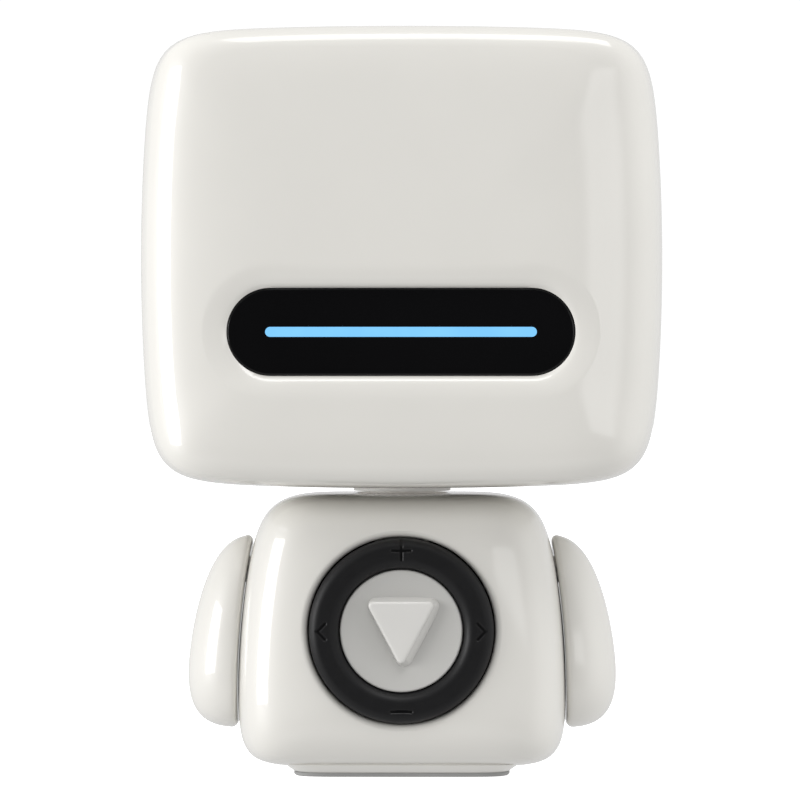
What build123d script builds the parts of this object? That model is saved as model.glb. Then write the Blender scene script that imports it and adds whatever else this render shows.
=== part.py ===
"""Small desk speaker shaped like a robot: a rounded head on a rounded torso with two arms.

The frame has +Z up and the front towards -Y. The origin is the centre of the foot's underside.
The head turns on a hollow neck spindle, the arms swing on shoulder pins, and the torso's dial
has a rocking control ring round a play button. All lengths are in millimetres.
"""
import os
from math import cos, radians, sin

from build123d import *

os.makedirs("parts", exist_ok=True)

# ---------------------------------------------------------------- driving dimensions
WALL = 2.0
RUNNING_GAP = 0.05
SWING_GAP = 0.3

HEAD_WIDTH, HEAD_DEPTH, HEAD_HEIGHT = 70.0, 48.0, 61.2
HEAD_BOTTOM = 38.8
HEAD_MID = HEAD_BOTTOM + HEAD_HEIGHT / 2
HEAD_SIDE_R, HEAD_TOP_R, HEAD_FACE_R = 251.0, 617.0, 450.0
HEAD_CORNER_R, HEAD_EDGE_R = 6.6, 4.6
HEAD_SPLIT = 10.0

TORSO_WIDTH, TORSO_DEPTH, TORSO_HEIGHT = 44.8, 34.0, 36.8
TORSO_BOTTOM = 1.1
TORSO_MID = TORSO_BOTTOM + TORSO_HEIGHT / 2
TORSO_SIDE_R, TORSO_TOP_R, TORSO_FACE_R = 100.0, 240.0, 300.0
TORSO_WIDEST_Z = 11.0
TORSO_CORNER_R, TORSO_LOW_CORNER_R, TORSO_EDGE_R = 6.2, 5.2, 4.6
TORSO_SPLIT = 5.0

VISOR_WIDTH, VISOR_HEIGHT, VISOR_Z = 45.5, 11.4, 59.4
VISOR_BACK, VISOR_STEP, VISOR_FRONT = 20.4, 21.1, 22.9
VISOR_FLANGE, VISOR_FLARE = 3.5, 6.6
LIGHT_WIDTH, LIGHT_HEIGHT = 35.5, 1.3

DIAL_Z = 19.9
RING_INNER_R, RING_OUTER_R, RING_CREST = 8.25, 12.28, 17.9
RING_FLANGE_R, RING_GAP = 13.4, 0.37
BUTTON_R, BUTTON_FLANGE_R, BUTTON_RIM, BUTTON_DISH = 7.85, 8.6, 16.9, 0.6
SWITCH_RING_R, SWITCH_CASE, SWITCH_TOP = 10.7, 1.2, 11.9
BOARD_FRONT, BOARD_THICK, BOARD_R = 10.0, 1.0, 13.0
MARK_WIDTH, MARK_DEPTH, MARK_R = 0.5, 0.25, 10.7

SPINDLE_R, SPINDLE_BORE_R, SPINDLE_BOTTOM = 4.5, 3.2, 31.5
COLLAR_R = 6.65
COLLAR_BOTTOM = 38.1
BUSH_R, BUSH_FLANGE_R = 6.2, 7.6
BUSH_BOTTOM, BUSH_NECK_BOTTOM, BUSH_FLANGE_TOP = 34.2, 35.0, 35.7
CLIP_Z, CLIP_THICK, CLIP_GROOVE_R = 33.2, 0.7, 4.0

SHOULDER_Z = 27.25
SHOULDER_BOSS_DEPTH, SHOULDER_BOSS_WALL = 5.5, 1.5
CLIP_DEPTH, PIN_CLIP_R, PIN_CLIP_THICK = 6.45, 3.0, 0.65
PIN_SHANK_DEPTH, PIN_HEAD_THICK = 5.75, 0.85
PIN_R, PIN_NECK_R, PIN_REACH = 1.85, 1.4, 2.7
ARM_LENGTH, ARM_SWELL, ARM_WIDEST = 27.4, 8.06, 9.1
ARM_SINK, ARM_BOTTOM_Z = 0.6, 5.25
ARM_UPPER_FULLNESS, ARM_TOP_BLUNTNESS = 0.22, 0.89
ARM_LOWER_FULLNESS, ARM_BOTTOM_BLUNTNESS = 0.8, 0.6

SPEAKER_CUTOUT_R, SPEAKER_FLANGE_R, SPEAKER_SCREW_R = 18.5, 21.5, 20.2
SPEAKER_FLANGE_BACK, SPEAKER_FLANGE_THICK, GASKET_THICK = 20.5, 0.8, 0.8
SPEAKER_SEAT = SPEAKER_FLANGE_BACK + GASKET_THICK
GRILLE_HOLE_R, GRILLE_PITCH, GRILLE_RINGS = 0.75, 2.4, 7
GRILLE_BACK, GRILLE_THICK, GRILLE_LEDGE = 22.4, 0.8, 0.9

FOOT_WIDTH, FOOT_DEPTH, PAD_THICK = 30.0, 24.0, 0.5
LEAD_R = 0.7

# Planes and axes. On DIAL_SECTION and SPEAKER_SECTION, x is the radius and y is the way out.
DIAL_FACE = Plane(origin=(0, 0, DIAL_Z), x_dir=(1, 0, 0), z_dir=(0, -1, 0))
DIAL_SECTION = Plane(origin=(0, 0, DIAL_Z), x_dir=(1, 0, 0), z_dir=(0, 0, -1))
DIAL_AXIS = Axis((0, 0, DIAL_Z), (0, -1, 0))
HEAD_BACK = Plane(origin=(0, 0, HEAD_MID), x_dir=(-1, 0, 0), z_dir=(0, 1, 0))
VISOR_FACE = Plane(origin=(0, 0, VISOR_Z), x_dir=(1, 0, 0), z_dir=(0, -1, 0))
SPEAKER_SECTION = Plane(origin=(0, 0, HEAD_MID), x_dir=(1, 0, 0), z_dir=(0, 0, 1))
SPEAKER_AXIS = Axis((0, 0, HEAD_MID), (0, 1, 0))
TORSO_FACE = Plane(origin=(0, 0, 0), x_dir=(1, 0, 0), z_dir=(0, -1, 0))

# The torso's sides are parts of two balls, and each shoulder axis runs out from its ball's
# centre, so that the arm's hollow inner face keeps the same gap all the way round its swing.
BALL_X = TORSO_WIDTH / 2 - TORSO_SIDE_R
SHOULDER_RISE = (SHOULDER_Z - TORSO_WIDEST_Z) / TORSO_SIDE_R
SHOULDER_RUN = (1 - SHOULDER_RISE**2) ** 0.5


def shoulder_plane(side, reach):
    """The plane square to a shoulder's axis, reach along it from the ball's centre."""
    centre = Vector(side * BALL_X, 0, TORSO_WIDEST_Z)
    outward = Vector(side * SHOULDER_RUN, 0, SHOULDER_RISE)
    return Plane(origin=centre + outward * reach, x_dir=(0, 1, 0), z_dir=outward)


def flipped(plane):
    """The same plane seen from behind, with its y direction kept."""
    return Plane(origin=plane.origin, x_dir=-plane.x_dir, z_dir=-plane.z_dir)


def finish(part, label):
    """Label a piece and write its STEP file."""
    part.label = label
    export_step(part, f"parts/{label}.step")


# ---------------------------------------------------------------- casings
def domed_block(size, mid_z, side_r, side_z, top_r, face_r, corner_rs, edge_r, inset=0.0):
    """A box with six gently domed faces and round edges; inset gives its inner offset.

    corner_rs holds the radii of the upper and the lower corners, seen from the front.
    """
    width, depth, height = (length - 2 * inset for length in size)
    side_r, top_r, face_r = side_r - inset, top_r - inset, face_r - inset
    with BuildPart() as block:
        with Locations((0, 0, mid_z)):
            Box(width + WALL, depth + WALL, height + WALL)
        for side in (-1, 1):
            with Locations((side * (width / 2 - side_r), 0, side_z)):
                Sphere(side_r, mode=Mode.INTERSECT)
            with Locations((0, side * (depth / 2 - face_r), mid_z)):
                Sphere(face_r, mode=Mode.INTERSECT)
            with Locations((0, 0, mid_z + side * (height / 2 - top_r))):
                Sphere(top_r, mode=Mode.INTERSECT)
        for corner_r, upper in zip(corner_rs, (True, False)):
            along_y = block.edges().filter_by(lambda edge: abs((edge % 0.5).Y) > 0.9)
            corners = along_y.filter_by(lambda edge: (edge.center().Z > mid_z) == upper)
            fillet(corners, corner_r - inset)
        rims = block.edges().filter_by(lambda edge: abs(edge.center().Y) > depth / 2 - 4)
        fillet(rims, edge_r - inset)
    return block.part


def head_block(inset):
    return domed_block(
        (HEAD_WIDTH, HEAD_DEPTH, HEAD_HEIGHT), HEAD_MID, HEAD_SIDE_R, HEAD_MID,
        HEAD_TOP_R, HEAD_FACE_R, (HEAD_CORNER_R, HEAD_CORNER_R), HEAD_EDGE_R, inset,
    )


def torso_block(inset):
    return domed_block(
        (TORSO_WIDTH, TORSO_DEPTH, TORSO_HEIGHT), TORSO_MID, TORSO_SIDE_R, TORSO_WIDEST_Z,
        TORSO_TOP_R, TORSO_FACE_R, (TORSO_CORNER_R, TORSO_LOW_CORNER_R), TORSO_EDGE_R, inset,
    )


head_outer, head_inner = head_block(0), head_block(WALL)
torso_outer, torso_inner = torso_block(0), torso_block(WALL)

HEAD_SCREWS = [(x, z) for x in (-27.0, 27.0) for z in (HEAD_MID - 23, HEAD_MID + 23)]
TORSO_SCREWS = [(-14.5, 8.0), (14.5, 8.0), (-12.5, 31.5), (12.5, 31.5)]
SCREW_R, SCREW_HEAD_R, SCREW_HEAD_THICK, BOSS_R, TORSO_BOSS_R = 0.8, 1.7, 1.2, 2.6, 2.2
HEAD_SCREW_TIP, HEAD_SCREW_SEAT = 2.0, 21.0
TORSO_SCREW_TIP, TORSO_SCREW_SEAT = -3.0, 14.0
PILOT_DEPTH, CLEARANCE = 9.0, 0.2
BOARD_POST_X, BOARD_POST_R = 15.6, 1.7
SMALL_SCREW_R, SMALL_HEAD_R, SMALL_HEAD_THICK, SPEAKER_HEAD_R = 0.7, 1.3, 0.8, 1.2
LIGHT_POSTS = [(-15.0, 9.5), (15.0, 9.5)]
LIGHT_BOARD_FRONT = 19.5
SPINDLE_FLANGE_R, SPINDLE_SCREW_R = 9.0, 7.0
SPINDLE_FLANGE_Z, SPINDLE_FLANGE_THICK = 40.9, 1.2
FLOOR_SCREW_TIP = 39.4
SPEAKER_PILOT_DEPTH, BOARD_PILOT_DEPTH, LIGHT_PILOT_DEPTH = 2.1, 3.5, 2.5
USB_WIDTH, USB_HEIGHT, USB_Z = 8.9, 3.2, 9.0


def screw_set(plane, spots, tip, head_start, radius, head_r, head_thick):
    """Pan-head screws: shanks from tip to head_start on the plane's normal, then heads."""
    with BuildPart() as screws:
        with BuildSketch(plane.offset(tip)):
            with Locations(*spots):
                Circle(radius)
        extrude(amount=head_start - tip)
        with BuildSketch(plane.offset(head_start)):
            with Locations(*spots):
                Circle(head_r)
        extrude(amount=head_thick)
        with BuildSketch(plane.offset(head_start + head_thick)):
            with Locations(*spots):
                Rectangle(head_r * 1.3, head_r * 0.3)
                Rectangle(head_r * 0.3, head_r * 1.3)
        extrude(amount=-head_thick / 2, mode=Mode.SUBTRACT)
    return screws.part


with BuildPart() as head_front_shell:
    add(head_outer)
    add(head_inner, mode=Mode.SUBTRACT)
    with BuildSketch(Plane.XZ.offset(-HEAD_SPLIT)):
        with Locations(*HEAD_SCREWS):
            Circle(BOSS_R)
    extrude(amount=HEAD_SPLIT + HEAD_DEPTH / 2 - WALL)
    with BuildSketch(VISOR_FACE.offset(LIGHT_BOARD_FRONT)):
        with Locations(*LIGHT_POSTS):
            Circle(BOARD_POST_R)
    extrude(amount=HEAD_DEPTH / 2 - WALL / 2 - LIGHT_BOARD_FRONT)
    split(bisect_by=Plane.XZ.offset(-HEAD_SPLIT), keep=Keep.TOP)
    with BuildSketch(VISOR_FACE.offset(HEAD_DEPTH / 2 + 0.4)):
        SlotOverall(VISOR_WIDTH + VISOR_FLARE, VISOR_HEIGHT + VISOR_FLARE)
    with BuildSketch(VISOR_FACE.offset(VISOR_FRONT)):
        SlotOverall(VISOR_WIDTH, VISOR_HEIGHT)
    loft(mode=Mode.SUBTRACT)
    with BuildSketch(VISOR_FACE.offset(VISOR_FRONT + 0.1)):
        SlotOverall(VISOR_WIDTH, VISOR_HEIGHT)
    extrude(amount=-1.5 * WALL, mode=Mode.SUBTRACT)
    with BuildSketch(Plane.XZ.offset(-HEAD_SPLIT)):
        with Locations(*HEAD_SCREWS):
            Circle(SCREW_R)
    extrude(amount=PILOT_DEPTH, mode=Mode.SUBTRACT)
    with BuildSketch(VISOR_FACE.offset(LIGHT_BOARD_FRONT)):
        with Locations(*LIGHT_POSTS):
            Circle(SMALL_SCREW_R)
    extrude(amount=LIGHT_PILOT_DEPTH, mode=Mode.SUBTRACT)
    with BuildSketch(Plane.XY.offset(HEAD_BOTTOM - WALL / 2)):
        Circle(SPINDLE_R + RUNNING_GAP)
    extrude(amount=2 * WALL, mode=Mode.SUBTRACT)
    with BuildSketch(Plane.XY.offset(FLOOR_SCREW_TIP)):
        with PolarLocations(SPINDLE_SCREW_R, 3, start_angle=90):
            Circle(SMALL_SCREW_R)
    extrude(amount=1.5 * WALL, mode=Mode.SUBTRACT)
finish(head_front_shell.part, "head_front_shell")

with BuildPart() as head_rear_shell:
    add(head_outer)
    add(head_inner, mode=Mode.SUBTRACT)
    with BuildSketch(Plane.XZ.offset(-HEAD_SPLIT)):
        with Locations(*HEAD_SCREWS):
            Circle(BOSS_R)
    extrude(amount=-(HEAD_DEPTH / 2 - WALL - HEAD_SPLIT))
    with BuildSketch(HEAD_BACK.offset(SPEAKER_SEAT)):
        Circle(SPEAKER_FLANGE_R + 0.5)
    extrude(amount=1.2)
    split(bisect_by=Plane.XZ.offset(-HEAD_SPLIT), keep=Keep.BOTTOM)
    with BuildSketch(HEAD_BACK.offset(SPEAKER_FLANGE_BACK)):
        Circle(SPEAKER_CUTOUT_R - GRILLE_LEDGE)
    extrude(amount=2 * WALL, mode=Mode.SUBTRACT)
    with BuildSketch(HEAD_BACK.offset(GRILLE_BACK - RUNNING_GAP)):
        Circle(SPEAKER_CUTOUT_R)
    extrude(amount=2 * WALL, mode=Mode.SUBTRACT)
    with BuildSketch(Plane.XZ.offset(-HEAD_SPLIT + 1)):
        with Locations(*HEAD_SCREWS):
            Circle(SCREW_R)
    extrude(amount=-HEAD_DEPTH / 2, mode=Mode.SUBTRACT)
    with BuildSketch(Plane.XZ.offset(-HEAD_SCREW_SEAT)):
        with Locations(*HEAD_SCREWS):
            Circle(SCREW_HEAD_R + CLEARANCE)
    extrude(amount=-4, mode=Mode.SUBTRACT)
    with BuildSketch(HEAD_BACK.offset(SPEAKER_FLANGE_BACK)):
        with PolarLocations(SPEAKER_SCREW_R, 4, start_angle=45):
            Circle(SMALL_SCREW_R)
    extrude(amount=SPEAKER_PILOT_DEPTH, mode=Mode.SUBTRACT)
finish(head_rear_shell.part, "head_rear_shell")

head_screws = screw_set(flipped(Plane.XZ), HEAD_SCREWS, HEAD_SCREW_TIP, HEAD_SCREW_SEAT,
                        SCREW_R, SCREW_HEAD_R, SCREW_HEAD_THICK)
finish(head_screws, "head_screws")

with BuildPart() as torso_front_shell:
    add(torso_outer)
    add(torso_inner, mode=Mode.SUBTRACT)
    for side in (-1, 1):
        with BuildSketch(shoulder_plane(side, TORSO_SIDE_R - SHOULDER_BOSS_DEPTH)):
            Circle(PIN_R + SHOULDER_BOSS_WALL)
        extrude(amount=SHOULDER_BOSS_DEPTH - WALL / 2)
    with BuildSketch(TORSO_FACE.offset(-TORSO_SPLIT)):
        with Locations(*TORSO_SCREWS):
            Circle(TORSO_BOSS_R)
    extrude(amount=TORSO_DEPTH / 2 - WALL / 2 + TORSO_SPLIT)
    with BuildSketch(DIAL_FACE.offset(BOARD_FRONT)):
        with Locations((-BOARD_POST_X, 0), (BOARD_POST_X, 0)):
            Circle(BOARD_POST_R)
    extrude(amount=TORSO_DEPTH / 2 - WALL / 2 - BOARD_FRONT)
    split(bisect_by=Plane.XZ.offset(-TORSO_SPLIT), keep=Keep.TOP)
    with BuildSketch(DIAL_FACE.offset(BOARD_FRONT + BOARD_PILOT_DEPTH)):
        Circle(RING_OUTER_R + RING_GAP)
    extrude(amount=TORSO_DEPTH, mode=Mode.SUBTRACT)
    for side in (-1, 1):
        with BuildSketch(shoulder_plane(side, TORSO_SIDE_R - 2 * SHOULDER_BOSS_DEPTH)):
            Circle(PIN_R + RUNNING_GAP)
        extrude(amount=3 * SHOULDER_BOSS_DEPTH, mode=Mode.SUBTRACT)
    with BuildSketch(TORSO_FACE.offset(-TORSO_SPLIT)):
        with Locations(*TORSO_SCREWS):
            Circle(SCREW_R)
    extrude(amount=PILOT_DEPTH, mode=Mode.SUBTRACT)
    with BuildSketch(DIAL_FACE.offset(BOARD_FRONT)):
        with Locations((-BOARD_POST_X, 0), (BOARD_POST_X, 0)):
            Circle(SMALL_SCREW_R)
    extrude(amount=BOARD_PILOT_DEPTH, mode=Mode.SUBTRACT)
    with BuildSketch(Plane.XY.offset(BUSH_NECK_BOTTOM)):
        Circle(BUSH_R)
    extrude(amount=2 * WALL, mode=Mode.SUBTRACT)
finish(torso_front_shell.part, "torso_front_shell")

with BuildPart() as torso_rear_shell:
    add(torso_outer)
    add(torso_inner, mode=Mode.SUBTRACT)
    with BuildSketch(TORSO_FACE.offset(-TORSO_SPLIT)):
        with Locations(*TORSO_SCREWS):
            Circle(TORSO_BOSS_R)
    extrude(amount=-(TORSO_DEPTH / 2 - WALL / 2 - TORSO_SPLIT))
    split(bisect_by=Plane.XZ.offset(-TORSO_SPLIT), keep=Keep.BOTTOM)
    with BuildSketch(TORSO_FACE.offset(-TORSO_SPLIT + 1)):
        with Locations(*TORSO_SCREWS):
            Circle(SCREW_R)
    extrude(amount=-TORSO_DEPTH, mode=Mode.SUBTRACT)
    with BuildSketch(TORSO_FACE.offset(-TORSO_SCREW_SEAT)):
        with Locations(*TORSO_SCREWS):
            Circle(SCREW_HEAD_R + CLEARANCE)
    extrude(amount=-PILOT_DEPTH, mode=Mode.SUBTRACT)
    with BuildSketch(Plane.XY.offset(BUSH_NECK_BOTTOM)):
        Circle(BUSH_R)
    extrude(amount=2 * WALL, mode=Mode.SUBTRACT)
    with BuildSketch(TORSO_FACE.offset(-12.0)):
        with Locations((0, USB_Z)):
            SlotOverall(USB_WIDTH + CLEARANCE, USB_HEIGHT + CLEARANCE)
    extrude(amount=-4 * WALL, mode=Mode.SUBTRACT)
finish(torso_rear_shell.part, "torso_rear_shell")

torso_screws = screw_set(flipped(Plane.XZ), TORSO_SCREWS, TORSO_SCREW_TIP, TORSO_SCREW_SEAT,
                         SCREW_R, SCREW_HEAD_R, SCREW_HEAD_THICK)
finish(torso_screws, "torso_screws")

# ---------------------------------------------------------------- visor and light
with BuildPart() as visor_lens:
    with BuildSketch(VISOR_FACE.offset(VISOR_BACK)):
        SlotOverall(VISOR_WIDTH + VISOR_FLANGE, VISOR_HEIGHT + VISOR_FLANGE)
    extrude(amount=VISOR_STEP - VISOR_BACK)
    with BuildSketch(VISOR_FACE.offset(VISOR_STEP)):
        SlotOverall(VISOR_WIDTH, VISOR_HEIGHT)
    extrude(amount=VISOR_FRONT - VISOR_STEP)
    fillet(visor_lens.edges().sort_by(Axis.Y)[:4], 0.3)
    with BuildSketch(VISOR_FACE.offset(LIGHT_BOARD_FRONT)):
        SlotOverall(LIGHT_WIDTH, LIGHT_HEIGHT)
    extrude(amount=2 * WALL, mode=Mode.SUBTRACT)
finish(visor_lens.part, "visor_lens")

with BuildPart() as light_bar:
    with BuildSketch(VISOR_FACE.offset(VISOR_BACK)):
        SlotOverall(LIGHT_WIDTH, LIGHT_HEIGHT)
    extrude(amount=VISOR_FRONT - VISOR_BACK)
finish(light_bar.part, "light_bar")

with BuildPart() as light_board:
    with BuildSketch(VISOR_FACE.offset(LIGHT_BOARD_FRONT)):
        with Locations((0, 4)):
            RectangleRounded(42, 21, 1.5)
        with Locations(*LIGHT_POSTS):
            Circle(SMALL_SCREW_R, mode=Mode.SUBTRACT)
    extrude(amount=-BOARD_THICK)
finish(light_board.part, "light_board")

with BuildPart() as light_leds:
    with BuildSketch(VISOR_FACE.offset(LIGHT_BOARD_FRONT)):
        with GridLocations(6.4, 1, 6, 1):
            Rectangle(3.0, 1.6)
    extrude(amount=0.8)
finish(light_leds.part, "light_leds")

light_board_screws = screw_set(flipped(VISOR_FACE), LIGHT_POSTS,
                               -LIGHT_BOARD_FRONT - 2.3, -LIGHT_BOARD_FRONT + BOARD_THICK,
                               SMALL_SCREW_R, SMALL_HEAD_R, SMALL_HEAD_THICK)
finish(light_board_screws, "light_board_screws")

# ---------------------------------------------------------------- speaker
with BuildPart() as speaker_grille:
    with BuildSketch(HEAD_BACK.offset(GRILLE_BACK)):
        Circle(SPEAKER_CUTOUT_R - RUNNING_GAP)
        Circle(GRILLE_HOLE_R, mode=Mode.SUBTRACT)
        for ring in range(1, GRILLE_RINGS + 1):
            with PolarLocations(ring * GRILLE_PITCH, 6 * ring):
                Circle(GRILLE_HOLE_R, mode=Mode.SUBTRACT)
    extrude(amount=GRILLE_THICK)
finish(speaker_grille.part, "speaker_grille")

with BuildPart() as speaker_gasket:
    with BuildSketch(HEAD_BACK.offset(SPEAKER_FLANGE_BACK)):
        Circle(SPEAKER_FLANGE_R)
        Circle(SPEAKER_CUTOUT_R, mode=Mode.SUBTRACT)
        with PolarLocations(SPEAKER_SCREW_R, 4, start_angle=45):
            Circle(SMALL_SCREW_R, mode=Mode.SUBTRACT)
    extrude(amount=GASKET_THICK)
finish(speaker_gasket.part, "speaker_gasket")

with BuildPart() as speaker_frame:
    with BuildSketch(SPEAKER_SECTION):
        with BuildLine():
            Polyline(
                (6.2, 8.3), (10.2, 8.3), (18.3, SPEAKER_FLANGE_BACK - SPEAKER_FLANGE_THICK),
                (SPEAKER_FLANGE_R, SPEAKER_FLANGE_BACK - SPEAKER_FLANGE_THICK),
                (SPEAKER_FLANGE_R, SPEAKER_FLANGE_BACK), (17.5, SPEAKER_FLANGE_BACK),
                (17.5, 19.9), (9.8, 9.1), (6.2, 9.1), close=True,
            )
        make_face()
    revolve(axis=SPEAKER_AXIS)
    with BuildSketch(HEAD_BACK.offset(10.4)):
        with PolarLocations(13.4, 6):
            Rectangle(5.0, 5.4)
    extrude(amount=6.5, mode=Mode.SUBTRACT)
    with BuildSketch(HEAD_BACK.offset(SPEAKER_FLANGE_BACK)):
        with PolarLocations(SPEAKER_SCREW_R, 4, start_angle=45):
            Circle(SMALL_SCREW_R)
    extrude(amount=-2 * SPEAKER_FLANGE_THICK, mode=Mode.SUBTRACT)
finish(speaker_frame.part, "speaker_frame")

speaker_spots = [(SPEAKER_SCREW_R * cos(radians(a)), SPEAKER_SCREW_R * sin(radians(a)))
                 for a in (45, 135, 225, 315)]
speaker_screws = screw_set(flipped(HEAD_BACK), speaker_spots,
                           -GRILLE_BACK, -SPEAKER_FLANGE_BACK + SPEAKER_FLANGE_THICK,
                           SMALL_SCREW_R, SPEAKER_HEAD_R, SMALL_HEAD_THICK)
finish(speaker_screws, "speaker_screws")

with BuildPart() as speaker_magnet:
    with BuildSketch(SPEAKER_SECTION):
        with BuildLine():
            Polyline(
                (0, 2.0), (11.0, 2.0), (11.0, 8.2), (6.2, 8.2), (6.2, 7.0), (7.4, 7.0),
                (7.4, 3.2), (4.9, 3.2), (4.9, 8.2), (0, 8.2), close=True,
            )
        make_face()
    revolve(axis=SPEAKER_AXIS)
finish(speaker_magnet.part, "speaker_magnet")

with BuildPart() as voice_coil:
    with BuildSketch(HEAD_BACK.offset(4.6)):
        Circle(5.75)
        Circle(5.4, mode=Mode.SUBTRACT)
    extrude(amount=8.0)
finish(voice_coil.part, "voice_coil")

with BuildPart() as speaker_cone:
    with BuildSketch(SPEAKER_SECTION):
        with BuildLine():
            Polyline((5.8, 12.0), (15.0, 18.6), (15.0, 19.1), (5.8, 12.5), close=True)
        make_face()
    revolve(axis=SPEAKER_AXIS)
finish(speaker_cone.part, "speaker_cone")

with BuildPart() as dust_cap:
    with Locations((0, 7.75, HEAD_MID)):
        Sphere(7.55)
        Sphere(7.15, mode=Mode.SUBTRACT)
    split(bisect_by=Plane.XZ.offset(-12.75), keep=Keep.BOTTOM)
finish(dust_cap.part, "dust_cap")

with BuildPart() as speaker_surround:
    with BuildSketch(SPEAKER_SECTION):
        with BuildLine():
            ThreePointArc((15.05, 19.2), (15.9, 20.2), (16.75, 19.2))
            Line((16.75, 19.2), (16.45, 19.2))
            ThreePointArc((16.45, 19.2), (15.9, 19.85), (15.35, 19.2))
            Line((15.35, 19.2), (15.05, 19.2))
        make_face()
    revolve(axis=SPEAKER_AXIS)
finish(speaker_surround.part, "speaker_surround")

with BuildPart() as speaker_spider:
    with BuildSketch(HEAD_BACK.offset(10.2)):
        Circle(9.4)
        Circle(5.85, mode=Mode.SUBTRACT)
    extrude(amount=0.4)
finish(speaker_spider.part, "speaker_spider")

# ---------------------------------------------------------------- neck
with BuildPart() as neck_spindle:
    with BuildSketch(Plane.XZ):
        with BuildLine():
            Polyline(
                (SPINDLE_BORE_R, SPINDLE_BOTTOM), (SPINDLE_R, SPINDLE_BOTTOM),
                (SPINDLE_R, CLIP_Z), (CLIP_GROOVE_R, CLIP_Z),
                (CLIP_GROOVE_R, CLIP_Z + CLIP_THICK), (SPINDLE_R, CLIP_Z + CLIP_THICK),
                (SPINDLE_R, SPINDLE_FLANGE_Z), (SPINDLE_FLANGE_R, SPINDLE_FLANGE_Z),
                (SPINDLE_FLANGE_R, SPINDLE_FLANGE_Z + SPINDLE_FLANGE_THICK),
                (SPINDLE_BORE_R, SPINDLE_FLANGE_Z + SPINDLE_FLANGE_THICK), close=True,
            )
        make_face()
    revolve(axis=Axis.Z)
    with BuildSketch(Plane.XY.offset(SPINDLE_FLANGE_Z)):
        with PolarLocations(SPINDLE_SCREW_R, 3, start_angle=90):
            Circle(SMALL_SCREW_R)
    extrude(amount=2, mode=Mode.SUBTRACT)
finish(neck_spindle.part, "neck_spindle")

with BuildPart() as neck_collar:
    with BuildSketch(Plane.XY.offset(COLLAR_BOTTOM)):
        Circle(COLLAR_R)
        Circle(SPINDLE_R, mode=Mode.SUBTRACT)
    extrude(amount=HEAD_BOTTOM - COLLAR_BOTTOM)
finish(neck_collar.part, "neck_collar")

with BuildPart() as neck_clip:
    with BuildSketch(Plane.XY.offset(CLIP_Z)):
        Circle(6.0)
        Circle(CLIP_GROOVE_R, mode=Mode.SUBTRACT)
        with Locations((0, 5)):
            Rectangle(4.0, 6.0, mode=Mode.SUBTRACT)
    extrude(amount=CLIP_THICK)
finish(neck_clip.part, "neck_clip")

spindle_spots = [(SPINDLE_SCREW_R * cos(radians(a)), SPINDLE_SCREW_R * sin(radians(a)))
                 for a in (90, 210, 330)]
spindle_screws = screw_set(Plane.XY, spindle_spots, FLOOR_SCREW_TIP, SPINDLE_FLANGE_Z + SPINDLE_FLANGE_THICK,
                           SMALL_SCREW_R, SMALL_HEAD_R, SMALL_HEAD_THICK)
finish(spindle_screws, "spindle_screws")

with BuildPart() as neck_bush:
    with BuildSketch(Plane.XY.offset(BUSH_BOTTOM)):
        Circle(BUSH_FLANGE_R)
    extrude(amount=BUSH_FLANGE_TOP - BUSH_BOTTOM)
    with BuildSketch(Plane.XY.offset(BUSH_NECK_BOTTOM)):
        Circle(BUSH_R)
    extrude(amount=TORSO_BOTTOM + TORSO_HEIGHT - BUSH_NECK_BOTTOM - RUNNING_GAP)
    with BuildSketch(Plane.XY.offset(BUSH_BOTTOM)):
        Circle(SPINDLE_R + RUNNING_GAP)
    extrude(amount=3 * WALL, mode=Mode.SUBTRACT)
finish(neck_bush.part, "neck_bush")

# ---------------------------------------------------------------- dial
with BuildPart() as control_ring:
    with BuildSketch(DIAL_SECTION):
        with BuildLine():
            Line((RING_INNER_R, 15.0), (RING_INNER_R, 16.6))
            ThreePointArc((RING_INNER_R, 16.6), (8.7, 17.5), (9.6, RING_CREST))
            Line((9.6, RING_CREST), (10.9, RING_CREST))
            ThreePointArc((10.9, RING_CREST), (11.9, 17.4), (RING_OUTER_R, 16.4))
            Polyline(
                (RING_OUTER_R, 16.4), (RING_OUTER_R, 14.2), (RING_FLANGE_R, 14.2),
                (RING_FLANGE_R, 13.7), (11.3, 13.7), (11.3, 15.0), (RING_INNER_R, 15.0),
            )
        make_face()
    revolve(axis=DIAL_AXIS)
    with BuildSketch(DIAL_FACE.offset(12.25)):
        with PolarLocations(SWITCH_RING_R, 4):
            Circle(0.7)
    extrude(amount=3)
    with BuildSketch(DIAL_FACE.offset(RING_CREST - MARK_DEPTH)):
        with Locations((0, MARK_R)):
            Rectangle(2.4, MARK_WIDTH)
            Rectangle(MARK_WIDTH, 2.4)
        with Locations((0, -MARK_R)):
            Rectangle(2.6, MARK_WIDTH)
        for side in (-1, 1):
            for slant in (-1, 1):
                with Locations((side * (MARK_R - 0.2), slant * 0.75)):
                    Rectangle(MARK_WIDTH, 2.2, rotation=side * slant * 45)
    extrude(amount=1, mode=Mode.SUBTRACT)
finish(control_ring.part, "control_ring")

with BuildPart() as key_mat:
    with BuildSketch(DIAL_FACE.offset(12.6)):
        Circle(12.4)
        Circle(8.9, mode=Mode.SUBTRACT)
        with PolarLocations(SWITCH_RING_R, 4):
            Circle(1.1, mode=Mode.SUBTRACT)
    extrude(amount=0.5)
finish(key_mat.part, "key_mat")

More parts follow.
